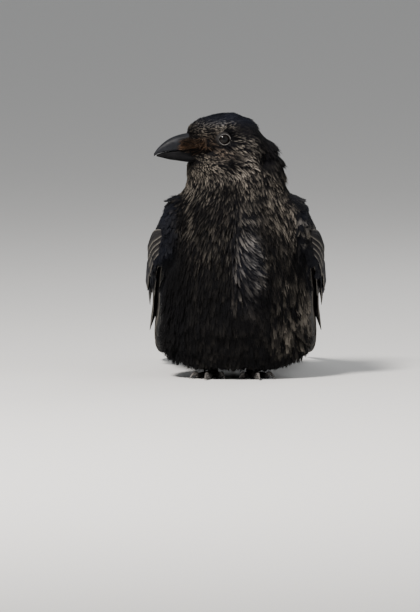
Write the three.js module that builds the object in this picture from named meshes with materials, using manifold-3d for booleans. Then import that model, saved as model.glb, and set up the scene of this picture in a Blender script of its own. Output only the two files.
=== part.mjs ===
// Carrion crow, life size, standing on a floor with its head turned to its right.
// Millimetres, +Z up. The bird faces -Y and its left side is +X.
import * as THREE from "three";
import { mergeVertices } from "three/addons/utils/BufferGeometryUtils.js";
import Module from "manifold-3d";

const wasm = await Module();
wasm.setup();

const at = (x, y, z) => new THREE.Vector3(x, y, z);
const rad = THREE.MathUtils.degToRad;
const lerp = THREE.MathUtils.lerp;

// Driving dimensions
const GAP = 0.4; // air between two pieces that meet
const EYE_HEIGHT = 221;
const HEAD_YAW = rad(78); // how far the bill is turned from straight ahead, to the bird's right
const EYE_SPREAD = 13.3; // from the head's midline to the centre of an eyeball
const EYE_RADIUS = 6.6;
const BILL_REACH = 62.8; // tip of the bill in front of the eyes
const WING_LENGTH = 318; // wrist to the longest primary's tip
const TAIL_LENGTH = 182;
const FEET_APART = 35;

// ---------------------------------------------------------------- solids

// A closed mesh from rings of points, each ring turning the same way. It ends in one point at each
// end where those are given, and otherwise each end ring is closed by a strip across it.
function skinned(rings, ends = []) {
  const count = rings[0].length;
  const index = [];
  const point = (ring, i) => ring * count + (i % count);
  const quad = (a, b, c, d) => index.push(a, b, d, a, d, c);
  for (let ring = 0; ring < rings.length - 1; ring++) {
    for (let i = 0; i < count; i++) {
      quad(point(ring, i), point(ring, i + 1), point(ring + 1, i), point(ring + 1, i + 1));
    }
  }
  for (const [last, ring] of [0, rings.length - 1].entries()) {
    const pole = rings.length * count + last;
    const close = (a, b, c) => (last ? index.push(a, b, c) : index.push(a, c, b));
    for (let i = 0; ends.length && i < count; i++) close(pole, point(ring, i), point(ring, i + 1));
    for (let i = 0; !ends.length && i < count / 2 - 1; i++) {
      const [a, b] = [point(ring, i), point(ring, i + 1)];
      const [c, d] = [point(ring, count - 1 - i), point(ring, count - 2 - i)];
      close(a, b, c);
      close(b, d, c);
    }
  }
  return solid(new THREE.BufferGeometry().setFromPoints([...rings.flat(), ...ends]).setIndex(index));
}

// A geometry as a manifold-3d solid, its faces turned outwards.
function solid(geometry) {
  geometry.deleteAttribute("normal");
  geometry.deleteAttribute("uv");
  const merged = mergeVertices(geometry, 1e-4);
  const vertProperties = merged.attributes.position.array;
  const make = (triVerts) => new wasm.Manifold(new wasm.Mesh({ numProp: 3, vertProperties, triVerts }));
  const faces = Uint32Array.from(merged.index.array);
  const made = make(faces);
  return made.volume() > 0 ? made : make(faces.reverse());
}

function surface(shape) {
  const { vertProperties, triVerts } = shape.getMesh();
  const geometry = new THREE.BufferGeometry();
  geometry.setAttribute("position", new THREE.BufferAttribute(vertProperties, 3));
  geometry.setIndex(new THREE.BufferAttribute(triVerts, 1));
  return geometry;
}

// A solid with its surface moved outwards by the gap.
function swell(shape) {
  const geometry = surface(shape);
  geometry.computeVertexNormals();
  const { position, normal } = geometry.attributes;
  const outwards = at(0, 0, 0);
  const place = at(0, 0, 0);
  for (let i = 0; i < position.count; i++) {
    outwards.fromBufferAttribute(normal, i);
    place.fromBufferAttribute(position, i).addScaledVector(outwards, GAP);
    position.setXYZ(i, place.x, place.y, place.z);
  }
  return solid(geometry);
}

// The outer skin of a solid's largest body: a cut can leave slivers, and a join sealed hollows.
const main = (shape) => shape.decompose().sort((a, b) => b.volume() - a.volume())[0];
const join = (shapes) => main(shapes.reduce((all, next) => all.add(next)));

// What is left of a solid beside its neighbours, with the gap between them.
const beside = (shape, ...neighbours) =>
  main(neighbours.reduce((left, neighbour) => left.subtract(swell(neighbour)), shape));

// A rounded body along a spine. Each station is [x, y, z, sideways, above, below]: a place on the
// spine and the reach from it. The ends close as half ellipsoids over a share `round` of the length.
function bodyAlong(stations, { side = at(1, 0, 0), rings, around, round, floor = -1 }) {
  const spine = new THREE.CatmullRomCurve3(stations.map(([x, y, z]) => at(x, y, z)));
  const reach = new THREE.CatmullRomCurve3(stations.map(([, , , s, a, b]) => at(s, a, b)));
  const drawn = [];
  for (let ring = 0; ring < rings; ring++) {
    const even = (ring + 0.5) / rings;
    const u = lerp(even, (1 - Math.cos(Math.PI * even)) / 2, 0.5);
    const near = Math.min(1, u / round, (1 - u) / round);
    const closing = Math.sqrt(1 - (1 - near) ** 2);
    const centre = spine.getPoint(u);
    const up = side.clone().cross(spine.getTangent(u)).normalize();
    const [sideways, above, below] = reach.getPoint(u).toArray();
    const points = [];
    for (let i = 0; i < around; i++) {
      const angle = (2 * Math.PI * i) / around;
      const [x, y] = [Math.cos(angle), Math.sin(angle)];
      const place = centre.clone().addScaledVector(side, x * sideways * closing);
      place.addScaledVector(up, y * (y > 0 ? above : below) * closing);
      place.z = Math.max(place.z, floor);
      points.push(place);
    }
    drawn.push(points);
  }
  return skinned(drawn, [spine.getPoint(0), spine.getPoint(1)]);
}

// ---------------------------------------------------------------- head

// The head's own axes: forward to the bill's tip, towards the bird's left, and up.
const forward = at(-Math.sin(HEAD_YAW), -Math.cos(HEAD_YAW), 0);
const leftward = at(Math.cos(HEAD_YAW), -Math.sin(HEAD_YAW), 0);
const headMiddle = at(-14.2, -10, EYE_HEIGHT); // on the midline, level with the eyes
const inHead = (u, v, w) =>
  headMiddle.clone().addScaledVector(forward, u).addScaledVector(leftward, v).add(at(0, 0, w));

// Feathered head, stations along its midline: [forward, height, half width, above, below].
const cranium = bodyAlong(
  [
    [36, -7, 9, 11.6, 13.5],
    [26, -6, 13, 19.3, 15],
    [12, -4, 16, 25.6, 22],
    [0, -4, 18.6, 28.2, 29],
    [-16, -5, 25.5, 27.8, 34],
    [-33, -10, 27, 22, 33],
    [-45, -21, 22.5, 16.5, 31],
    [-53, -37, 16, 13.5, 24],
  ].map(([u, w, ...reach]) => [...inHead(u, 0, w).toArray(), ...reach]),
  { side: leftward, rings: 9, around: 14, round: 0.12 },
);

// A mandible as a loft of arches: [forward, height of the cutting edge, of the ridge, half width].
function mandible(stations) {
  const profile = new THREE.CatmullRomCurve3(stations.map(([u, edge, ridge]) => at(u, edge, ridge)));
  const widths = new THREE.CatmullRomCurve3(stations.map(([u, , , half]) => at(u, half, 0)));
  const LAST_RING = 6;
  const ARCH = 6;
  const rings = [];
  for (let ring = 0; ring <= LAST_RING; ring++) {
    const [u, edge, ridge] = profile.getPoint(ring / LAST_RING).toArray();
    const half = widths.getPoint(ring / LAST_RING).y;
    const points = [];
    for (let i = 0; i <= ARCH; i++) {
      const angle = (Math.PI * i) / ARCH;
      const bulge = Math.sin(angle) ** 0.8;
      const across = half * Math.cos(angle) * (0.72 + 0.28 * bulge);
      points.push(inHead(u, across, lerp(edge, ridge, bulge)));
    }
    rings.push(points);
  }
  const [root, tip] = [stations[0], stations.at(-1)];
  return skinned(rings, [
    inHead(root[0], 0, (root[1] + root[2]) / 2),
    inHead(tip[0] + 0.4, 0, (tip[1] + tip[2]) / 2),
  ]);
}

const upperBill = mandible([
  [14, -9.8, 6, 9.4],
  [30, -9, 5.4, 8.8],
  [40, -10, 3.4, 7.5],
  [48, -11, 0.2, 5.9],
  [54, -11.9, -3.9, 4.3],
  [59, -13.2, -8.6, 2.5],
  [BILL_REACH - 0.4, -15.6, -13.2, 0.7],
]);

const lowerBill = mandible([
  [14, -10.3, -21.6, 8.6],
  [30, -9.6, -21.2, 7.8],
  [40, -10.6, -19.8, 6.2],
  [48, -11.6, -18.6, 4.6],
  [55, -12.7, -16.9, 2.7],
  [60, -14.3, -15.6, 0.8],
]);

function eyeball(side) {
  const ball = new THREE.SphereGeometry(EYE_RADIUS, 10, 6);
  const centre = inHead(0, side * EYE_SPREAD, 0);
  return solid(ball.translate(centre.x, centre.y, centre.z));
}

// ---------------------------------------------------------------- neck, trunk, rump and thighs

const neckForm = bodyAlong(
  [
    [-3, -3, 212, 26, 22, 22],
    [-2, -3, 200, 43, 36, 34],
    [-1, -3, 186, 45, 39, 38],
    [0, -2, 171, 50, 47, 48],
    [0, 0, 156, 56, 54, 56],
    [0, 2, 142, 58, 56, 58],
  ],
  { rings: 6, around: 14, round: 0.2 },
);

// With its plumage the trunk stands as an egg, so its spine runs straight down.
const trunkForm = bodyAlong(
  [
    [0, 2, 186, 40, 32, 30],
    [0, 2, 166, 55, 52, 55],
    [0, 2, 140, 64, 68, 65],
    [0, 2, 112, 67, 84, 67],
    [0, 4, 84, 68, 88, 65],
    [0, 8, 56, 69, 76, 60],
    [0, 12, 30, 66, 58, 52],
    [0, 16, 9, 61, 40, 43],
  ],
  { rings: 9, around: 16, round: 0.08 },
);

const rumpForm = bodyAlong(
  [
    [0, 52, 88, 52, 52, 44],
    [0, 96, 71, 44, 32, 33],
    [0, 132, 58, 33, 16, 24],
    [0, 166, 45, 25, 8, 15],
    [0, 190, 36, 16, 4, 9],
  ],
  { rings: 6, around: 12, round: 0.12 },
);

const thighForm = (side) =>
  bodyAlong(
    [
      [side * 37, 18, 74, 25, 30, 24],
      [side * 35, 26, 46, 26, 32, 28],
      [side * 29, 28, 24, 23, 27, 26],
      [side * 23, 25, 9, 15, 17, 18],
    ],
    { rings: 5, around: 10, round: 0.18 },
  );

// ---------------------------------------------------------------- wings

// The folded wing's outer surface. Down its middle runs a line from the wrist to the tip of the
// longest primary, and across it the surface curves round the body.
const WING_LINE = [
  [60, -37, 147],
  [74, -16, 140],
  [76.5, 38, 114],
  [77, 102, 82],
  [80, 163, 52],
  [78, 222, 25],
  [69, 264, 9],
];
const FOLD = 0.3; // share of the line over which the surface turns from upright to the back's slope

// A chart of that surface: along and across are distances on it, across upwards, height outwards.
function wingChart(side) {
  const line = new THREE.CatmullRomCurve3(WING_LINE.map(([x, y, z]) => at(x, y, z)));
  const length = line.getLength();
  return (along, across, height) => {
    const share = THREE.MathUtils.clamp(along / length, 0, 1);
    const folded = THREE.MathUtils.smoothstep(share, 0, FOLD);
    const ahead = line.getTangentAt(share);
    const up = at(-0.12 - 0.42 * folded, 0.25, 1).projectOnPlane(ahead).normalize();
    const out = ahead.clone().cross(up).normalize();
    const bend = 88 - 34 * folded + 90 * share ** 3;
    const turn = across / bend;
    const place = line.getPointAt(share);
    place.addScaledVector(up, (bend + height) * Math.sin(turn));
    place.addScaledVector(out, (bend + height) * Math.cos(turn) - bend);
    place.addScaledVector(ahead, along - share * length);
    return at(side * place.x, place.y, Math.max(place.z, 0.6));
  };
}

// One flight feather as a long lens on a chart: root and tip are [along, across], lead is the
// share of its width that lies below the shaft, and sag bows the shaft.
function vane(chart, { root, tip, width, height, lead = 0.42, sag = 0 }) {
  const THICK = 1.8;
  const RINGS = 4;
  const ahead = new THREE.Vector2(tip[0] - root[0], tip[1] - root[1]);
  const [x, y] = ahead.clone().normalize().toArray();
  const place = (u, off, lift) => {
    const aside = off + sag * Math.sin(Math.PI * u);
    return chart(root[0] + ahead.x * u - y * aside, root[1] + ahead.y * u + x * aside, height + lift);
  };
  const rings = [];
  for (let ring = 0; ring < RINGS; ring++) {
    const u = 0.985 * Math.sin((Math.PI * (ring + 0.15)) / (2 * RINGS - 1.7));
    const rounded = Math.sqrt(1 - Math.max(0, (u - 0.8) / 0.2) ** 2.2);
    const wide = width * rounded * Math.min(1, 0.3 + 2.8 * u);
    const edges = [place(u, -wide * lead, 0), place(u, wide * (1 - lead), 0)];
    rings.push([edges[0], place(u, 0, THICK / 2), edges[1], place(u, 0, -THICK / 2)]);
  }
  return skinned(rings, [place(0, 0, 0), place(1, 0, 0)]);
}

// Vanes side by side: share runs from 0 to 1 over the row.
const row = (count, chart, shape) =>
  join(Array.from({ length: count }, (_, i) => vane(chart, shape(i / (count - 1)))));

// Primaries from the innermost to the outermost, which is short: the longest lies before it.
const primaries = (chart) =>
  row(7, chart, (share) => ({
    root: [lerp(58, 40, share), lerp(2, -22, share)],
    tip: [
      WING_LENGTH - 92 * Math.max(0, 1 - share / 0.72) ** 1.25 - 60 * Math.max(0, share / 0.2 - 4),
      lerp(10, -9, share),
    ],
    width: lerp(27, 19, share),
    height: lerp(-8.6, -12.6, share),
    sag: lerp(-2, -9, share),
  }));

// Secondaries from the outermost, low on the wing, to the broad tertials on top.
const secondaries = (chart) =>
  row(6, chart, (share) => ({
    root: [lerp(62, 70, share), lerp(-14, 34, share)],
    tip: [lerp(226, 176, share ** 1.5), lerp(-12, 40, share)],
    width: lerp(30, 38, share),
    height: lerp(-7.2, -3.6, share),
    lead: 0.45,
    sag: lerp(-4, 3, share),
  }));

// A slab on a chart: its stations are [along, lower edge, upper edge, thickness], and its outer
// face stands proud of the chart by `proud`.
function slab(chart, stations, { rings, across, proud = 0, edge = 1 }) {
  const edges = new THREE.CatmullRomCurve3(stations.map(([along, low, high]) => at(along, low, high)));
  const depth = new THREE.CatmullRomCurve3(stations.map(([along, , , thick]) => at(along, thick, 0)));
  const drawn = [];
  for (let ring = 0; ring < rings; ring++) {
    const share = ring / (rings - 1);
    const [along, low, high] = edges.getPoint(share).toArray();
    const thick = depth.getPoint(share).y;
    const outer = [];
    const inner = [];
    for (let i = 0; i <= across; i++) {
      const over = i / across;
      const full = lerp(edge, 1, Math.sin(Math.PI * lerp(0.1, 0.9, over)) ** 0.4);
      outer.push(chart(along, lerp(low, high, over), proud - thick * 0.35 * (1 - full)));
      inner.unshift(chart(along, lerp(low, high, over), -thick * (0.35 + 0.65 * full)));
    }
    drawn.push([...outer, ...inner]);
  }
  return skinned(drawn);
}

// Forearm and hand under their coverts, which thin towards their rear edge.
const wingArm = (chart) =>
  slab(
    chart,
    [
      [-4, -10, 16, 7],
      [8, -24, 34, 13],
      [30, -32, 43, 14],
      [62, -34, 52, 12],
      [95, -34, 57, 8],
      [118, -31, 56, 4.5],
    ],
    { rings: 8, across: 5, edge: 0 },
  );

// All the room that the wing takes up, to cut the body with.
const wingRoom = (chart) =>
  slab(
    chart,
    [
      [-7, -13, 19, 9],
      [8, -28, 39, 15],
      [30, -36, 48, 16],
      [62, -38, 57, 15],
      [120, -38, 62, 14.5],
      [180, -37, 62, 14.5],
      [240, -28, 30, 14.5],
    ],
    { rings: 10, across: 4, proud: 2.5 },
  );

// ---------------------------------------------------------------- tail

const TAIL_ROOT = at(0, 97, 72);
const TAIL_SLOPE = Math.asin((TAIL_ROOT.z - 1.4) / TAIL_LENGTH);

// The closed tail is a shallow roof that falls away from its ridge.
function tailChart(along, across, height) {
  const rise = height - 0.0035 * across ** 2 - 5 * Math.sin((Math.PI * along) / TAIL_LENGTH);
  const y = TAIL_ROOT.y + along * Math.cos(TAIL_SLOPE) + rise * Math.sin(TAIL_SLOPE);
  const z = TAIL_ROOT.z - along * Math.sin(TAIL_SLOPE) + rise * Math.cos(TAIL_SLOPE);
  return at(across, y, Math.max(z, 0));
}

const tailFan = row(10, tailChart, (share) => {
  const place = 2 * share - 1; // -1 at the right edge, 1 at the left
  return {
    root: [0, place * 9],
    tip: [TAIL_LENGTH - 13 * place ** 2, place * 24],
    width: 25,
    height: -4.6 * Math.abs(place) - (place > 0 ? 0.35 : 0),
    lead: 0.5 + 0.1 * place,
  };
});

const tailRoom = bodyAlong(
  [
    [0, TAIL_ROOT.y - 8, TAIL_ROOT.z + 1, 24, 4, 12],
    [0, 130, 56, 28, 5, 13],
    [0, 170, 38, 32, 5, 14],
    [0, 205, 24, 34, 5, 15],
  ],
  { rings: 4, around: 10, round: 0.06 },
);

// ---------------------------------------------------------------- legs

const STANCE = at(-3.5, 13, 0); // between the feet
const SPLAY = rad(7); // how far each foot turns out
const HEEL = at(FEET_APART / 2 + 2, 29, 19);

// Toe by toe: name, direction from straight ahead, length, thickness at the root, claw length.
const TOES = [
  ["middle", 2, 38, 6.8, 13],
  ["inner", -24, 27, 6.4, 12],
  ["outer", 27, 29, 6.2, 12],
  ["hind", 178, 21, 7.4, 16],
];

// A place on a foot, reach millimetres from its middle, and the direction across the toe there.
function onFoot(side, angle, reach, z) {
  const turn = rad(angle) + SPLAY;
  const x = STANCE.x + side * (FEET_APART / 2 + reach * Math.sin(turn));
  return at(x, STANCE.y - reach * Math.cos(turn), z);
}
function acrossToe(side, angle) {
  const turn = rad(angle) + SPLAY;
  return at(side * Math.cos(turn), Math.sin(turn), 0);
}

function toe(side, [, angle, length, thick]) {
  const stations = [0, 0.3, 0.62, 1].map((share) => {
    const size = (thick / 2) * (1 - 0.22 * share);
    const knuckle = share === 0.3 || share === 0.62 ? 0.5 : 0;
    return [...onFoot(side, angle, length * share, size * 0.88 + knuckle).toArray(), size, size, size];
  });
  return bodyAlong(stations, { side: acrossToe(side, angle), rings: 4, around: 8, round: 0.2, floor: 0 });
}

function claw(side, [, angle, length, thick, reach]) {
  const arc = [0, 0.35, 0.7, 1].map((share) => {
    const rise = 3.2 + 3.4 * Math.sin(Math.PI * 0.62 * share + 0.35) - 5.6 * share ** 1.7;
    const slim = thick * 0.36 * (1 - 0.8 * share);
    const place = onFoot(side, angle, length - 3 + (reach + 1) * share, Math.max(rise, slim + 0.1));
    return [...place.toArray(), slim * 0.8, slim, slim];
  });
  return bodyAlong(arc, { side: acrossToe(side, angle), rings: 4, around: 5, round: 0.08, floor: 0.1 });
}

function tarsus(side) {
  const ankle = STANCE.x + (side * FEET_APART) / 2;
  const heel = STANCE.x + side * HEEL.x;
  return bodyAlong(
    [
      [ankle, STANCE.y + 0.5, 4.4, 5.6, 6, 6],
      [ankle, STANCE.y + 3, 8, 4, 4.4, 4.4],
      [heel, HEEL.y - 6, 15, 3.4, 3.8, 3.8],
      [heel, HEEL.y, 26, 3.8, 4.2, 4.2],
    ],
    { rings: 5, around: 8, round: 0.14, floor: 0 },
  );
}

// ---------------------------------------------------------------- the bird

const bird = new THREE.Group();

function add(name, shape, color, roughness) {
  const finish = new THREE.MeshStandardMaterial({ color, roughness, metalness: 0 });
  const mesh = new THREE.Mesh(surface(shape), finish);
  mesh.name = name;
  bird.add(mesh);
}

const PLUMAGE = 0x17140f;
const FLIGHT = 0x0d0d11;
const HORN = 0x22242a;
const SCALES = 0x1a1919;
const EYE = 0x120b08;

const eyes = [eyeball(1), eyeball(-1)];
const rooms = [wingRoom(wingChart(1)), wingRoom(wingChart(-1))];
const thighs = [thighForm(1), thighForm(-1)];
const shanks = [tarsus(1), tarsus(-1)];

add("head", beside(cranium, upperBill, lowerBill, ...eyes), PLUMAGE, 0.7);
add("bill_upper", upperBill, HORN, 0.35);
add("bill_lower", lowerBill, HORN, 0.35);
add("eye_left", eyes[0], EYE, 0.05);
add("eye_right", eyes[1], EYE, 0.05);
add("neck", beside(neckForm, cranium, upperBill, lowerBill, ...eyes, ...rooms), PLUMAGE, 0.7);
add("trunk", beside(trunkForm, neckForm, cranium, ...rooms, ...thighs, ...shanks), PLUMAGE, 0.7);
add("rump", beside(rumpForm, trunkForm, ...rooms, ...thighs, tailRoom), PLUMAGE, 0.7);
add("tail", tailFan, FLIGHT, 0.45);

for (const [i, word] of ["left", "right"].entries()) {
  const side = 1 - 2 * i;
  const chart = wingChart(side);
  const arm = wingArm(chart);
  const upper = secondaries(chart);
  add("wing_arm_" + word, arm, FLIGHT, 0.5);
  add("secondaries_" + word, beside(upper, arm), FLIGHT, 0.45);
  add("primaries_" + word, beside(primaries(chart), arm, upper), FLIGHT, 0.45);
  add("thigh_" + word, beside(thighs[i], ...rooms, shanks[i]), PLUMAGE, 0.7);
  add("tarsus_" + word, shanks[i], SCALES, 0.6);
  const middle = toe(side, TOES[0]);
  for (const each of TOES) {
    const whole = toe(side, each);
    const neighbours = each === TOES[0] ? [shanks[i], thighs[i]] : [shanks[i], thighs[i], middle];
    add("toe_" + each[0] + "_" + word, beside(whole, ...neighbours), SCALES, 0.6);
    add("claw_" + each[0] + "_" + word, beside(claw(side, each), whole), HORN, 0.3);
  }
}

// The origin lies on the floor, under the middle of the bird's box.
const box = new THREE.Box3().setFromObject(bird);
const middle = box.getCenter(at(0, 0, 0));
bird.position.set(-middle.x, -middle.y, -box.min.z);

export default bird;
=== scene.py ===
# %% [markdown]
# # A carrion crow, life size
# The bird's solids come packed from the CAD step, in metres, and nothing here moves them. They
# give the outline. This script dresses them: one skin under the plumage, feathers over it, and
# finer horn, eyes and feet.

import math
import random
from contextlib import contextmanager
from types import SimpleNamespace

import bmesh
import bpy
import numpy as np
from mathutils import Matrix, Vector
from mathutils.bvhtree import BVHTree


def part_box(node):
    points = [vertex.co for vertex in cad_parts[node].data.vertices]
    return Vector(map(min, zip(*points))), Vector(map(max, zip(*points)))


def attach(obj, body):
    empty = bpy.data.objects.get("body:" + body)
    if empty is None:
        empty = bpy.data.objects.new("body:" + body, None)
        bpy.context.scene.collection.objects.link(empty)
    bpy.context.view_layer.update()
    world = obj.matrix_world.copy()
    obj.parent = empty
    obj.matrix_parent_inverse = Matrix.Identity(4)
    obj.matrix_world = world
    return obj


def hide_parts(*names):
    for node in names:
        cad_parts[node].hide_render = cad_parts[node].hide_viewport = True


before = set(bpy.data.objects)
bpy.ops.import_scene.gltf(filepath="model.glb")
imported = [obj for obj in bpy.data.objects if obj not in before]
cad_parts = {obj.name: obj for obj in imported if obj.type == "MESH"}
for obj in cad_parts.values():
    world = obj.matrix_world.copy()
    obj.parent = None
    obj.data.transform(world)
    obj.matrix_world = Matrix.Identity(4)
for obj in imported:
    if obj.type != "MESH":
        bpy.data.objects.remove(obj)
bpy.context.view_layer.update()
print("nodes:", len(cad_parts))

# %% [markdown]
# Every place is worked out from the left eye, which the frame knows. Sizes are written in
# millimetres, as a bird is measured, and turned into metres at the last step. The bird's breast
# faces -Y and its left side is +X. Its head is turned to its right, so it has axes of its own.

# %% Measures and axes
MM = 0.001
HEAD_YAW = math.radians(78)
EYE_SPREAD = 13.3  # from the head's midline to the centre of an eyeball
EYE_RADIUS = 6.6
HEAD_MIDDLE = np.array([-14.2, -10.0, 221.0])  # on the midline, level with the eyes
FORWARD = np.array([-math.sin(HEAD_YAW), -math.cos(HEAD_YAW), 0.0])
LEFTWARD = np.array([math.cos(HEAD_YAW), -math.sin(HEAD_YAW), 0.0])
UP = np.array([0.0, 0.0, 1.0])

low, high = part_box("eye_left")
LEFT_EYE = np.array((low + high) / 2) / MM
SHIFT = LEFT_EYE - (HEAD_MIDDLE + LEFTWARD * EYE_SPREAD)


def in_head(u, v, w):
    """A place by the head's axes: forward, leftward and up from between the eyes."""
    u, v, w = (np.asarray(each, float)[..., None] for each in (u, v, w))
    return HEAD_MIDDLE + u * FORWARD + v * LEFTWARD + w * UP


def by_head(places):
    """The other way round: how far forward, leftward and up the places lie."""
    from_eyes = places - HEAD_MIDDLE
    return from_eyes @ FORWARD, from_eyes @ LEFTWARD, from_eyes[:, 2]


def mix(a, b, share):
    return a + (b - a) * share


def smooth(value, low, high):
    """0 below low, 1 above high, and an even slope between."""
    share = np.clip((np.asarray(value, float) - low) / (high - low), 0.0, 1.0)
    return share * share * (3 - 2 * share)


def bell(value, middle, width):
    """1 at the middle, falling off evenly to both sides."""
    return np.exp(-((value - middle) / width) ** 2)


def unit(vectors):
    return vectors / np.maximum(np.linalg.norm(vectors, axis=-1, keepdims=True), 1e-9)


print("shift from the bird's own origin, mm:", SHIFT.round(2))

# %% [markdown]
# Most forms here are lofts: sections placed along a smooth line through a few stations. A
# centripetal Catmull-Rom line passes through its stations and never loops between them.

# %% Smooth lines
def smooth_line(stations, shares):
    """Places on a centripetal Catmull-Rom line through the stations, share 0 to 1 end to end."""
    points = np.asarray(stations, float)
    points = np.vstack([2 * points[0] - points[1], points, 2 * points[-1] - points[-2]])
    spans = len(points) - 3
    place = np.clip(np.asarray(shares, float), 0, 1) * spans
    first = np.minimum(place.astype(int), spans - 1)
    t = (place - first)[..., None]
    p0, p1, p2, p3 = (points[first + k] for k in range(4))
    gaps = [np.maximum(np.linalg.norm(b - a, axis=-1, keepdims=True) ** 0.5, 1e-6)
            for a, b in ((p0, p1), (p1, p2), (p2, p3))]
    into = ((p1 - p0) / gaps[0] - (p2 - p0) / (gaps[0] + gaps[1]) + (p2 - p1) / gaps[1]) * gaps[1]
    away = ((p2 - p1) / gaps[1] - (p3 - p1) / (gaps[1] + gaps[2]) + (p3 - p2) / gaps[2]) * gaps[1]
    bend = 2 * p1 - 2 * p2 + into + away
    pull = -3 * p1 + 3 * p2 - 2 * into - away
    return p1 + into * t + pull * t**2 + bend * t**3


def even_shares(stations, count=400):
    """Shares of the line, and the length of line up to each."""
    shares = np.linspace(0, 1, count)
    places = smooth_line(stations, shares)
    return shares, np.concatenate([[0], np.cumsum(np.linalg.norm(np.diff(places, axis=0), axis=1))])


# %% Meshes
def mesh_object(name, places, faces):
    """A new object from places in millimetres, in the bird's own frame."""
    mesh = bpy.data.meshes.new(name)
    mesh.from_pydata(((np.asarray(places) + SHIFT) * MM).tolist(), [], [tuple(f) for f in faces])
    mesh.shade_smooth()
    made = bpy.data.objects.new(name, mesh)
    bpy.context.collection.objects.link(made)
    return made


@contextmanager
def edited(mesh):
    """The mesh as a BMesh, written back when the block ends."""
    bm = bmesh.new()
    bm.from_mesh(mesh)
    yield bm
    bm.to_mesh(mesh)
    bm.free()


def read(items, key, size=3):
    """One property of all items, as rows of numbers."""
    flat = np.empty(len(items) * size)
    items.foreach_get(key, flat)
    return flat.reshape(-1, size)


def read_places(mesh):
    """Vertex places of a mesh in millimetres, in the bird's own frame."""
    return read(mesh.vertices, "co") / MM - SHIFT


def write_places(mesh, places):
    mesh.vertices.foreach_set("co", ((places + SHIFT) * MM).ravel())
    mesh.update()


def store(mesh, name, values):
    """Keeps a number or a vector at each vertex. A single number goes to all."""
    values = np.asarray(values, dtype=np.float32)
    if values.ndim == 0:
        values = np.full(len(mesh.vertices), values)
    kind, key = ("FLOAT_VECTOR", "vector") if values.ndim == 2 else ("FLOAT", "value")
    mesh.attributes.new(name, kind, "POINT").data.foreach_set(key, values.ravel())


def unwrap(piece):
    """Gives a piece the map for later baking, by its own shape."""
    bpy.context.view_layer.objects.active = piece
    piece.select_set(True)
    piece.data.uv_layers.new(name="OFBake")
    bpy.ops.object.mode_set(mode="EDIT")
    bpy.ops.mesh.select_all(action="SELECT")
    bpy.ops.uv.smart_project(angle_limit=math.radians(66), island_margin=0.004)
    bpy.ops.object.mode_set(mode="OBJECT")
    piece.select_set(False)


def settle(piece, slot_name, *nodes):
    """Puts a finished piece in the frame."""
    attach(piece, "root")
    if nodes:
        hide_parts(*nodes)
    piece.data.calc_loop_triangles()
    print(f"{piece.name}: {len(piece.data.loop_triangles)} triangles")


def dress(piece, paint, slot_name, *nodes):
    """Turns a new piece's faces outwards, gives it material and map, and settles it."""
    with edited(piece.data) as bm:
        bmesh.ops.recalc_face_normals(bm, faces=bm.faces)
    piece.data.materials.append(paint)
    unwrap(piece)
    settle(piece, slot_name, *nodes)


def loft(rings, closed_ends=True):
    """Places and faces of a tube of rings, each a row of places, with its ends closed."""
    rings = np.asarray(rings)
    count, around = rings.shape[:2]
    faces = []
    for ring in range(count - 1):
        for i in range(around):
            j = (i + 1) % around
            a, b = ring * around, (ring + 1) * around
            faces.append((a + i, a + j, b + j, b + i))
    places = rings.reshape(-1, 3)
    if closed_ends:
        places = np.vstack([places, rings[0].mean(0), rings[-1].mean(0)])
        for i in range(around):
            j = (i + 1) % around
            faces.append((count * around, j, i))
            faces.append((count * around + 1, (count - 1) * around + i, (count - 1) * around + j))
    return places, faces


# %% [markdown]
# ## The skin
# A bird's flesh is far slimmer than its feathered outline. One closed skin takes the place of all
# the flesh solids, so that no seam shows between neck and trunk. Their copies are swollen by a
# hair, so that the thin gaps close, remeshed with even voxels into one surface, smoothed, and then
# drawn in by the depth of the coat. Lofting a skin by hand would work too, but it would have to
# repeat every solid.

# %% One surface from the flesh solids
SIDES = ((1, "left"), (-1, "right"))
FLESH = ["head", "neck", "trunk", "rump"]
FLESH += [part + word for part in ("wing_arm_", "thigh_") for _, word in SIDES]
SWELLING = 0.7  # millimetres, as is the voxel
VOXEL = 2.0
SMOOTHING = {"factor": 0.5, "iterations": 14}
WELD = 2e-5  # metres


def flesh_surface():
    bm = bmesh.new()
    for name in FLESH:
        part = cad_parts[name].data.copy()
        with edited(part) as solid:
            bmesh.ops.remove_doubles(solid, verts=solid.verts, dist=WELD)
            solid.normal_update()
            for vertex in solid.verts:
                vertex.co += vertex.normal * SWELLING * MM
        bm.from_mesh(part)
        bpy.data.meshes.remove(part)
    mesh = bpy.data.meshes.new("skin")
    bm.to_mesh(mesh)
    bm.free()
    skin = bpy.data.objects.new("skin", mesh)
    bpy.context.collection.objects.link(skin)
    remesh = skin.modifiers.new("Remesh", "REMESH")
    remesh.mode = "VOXEL"
    remesh.voxel_size = VOXEL * MM
    soften = skin.modifiers.new("Smooth", "SMOOTH")
    for name, value in SMOOTHING.items():
        setattr(soften, name, value)
    graph = bpy.context.evaluated_depsgraph_get()
    skin.data = bpy.data.meshes.new_from_object(skin.evaluated_get(graph))
    skin.modifiers.clear()
    return skin


skin = flesh_surface()
print("skin vertices:", len(skin.data.vertices))

# %% [markdown]
# The skin is described point by point in two ways: by place, and by the head's axes. From them
# come soft masks for the parts of a bird, which set the depth of the coat, the way each feather
# lies, and how long and wide it is.

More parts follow.
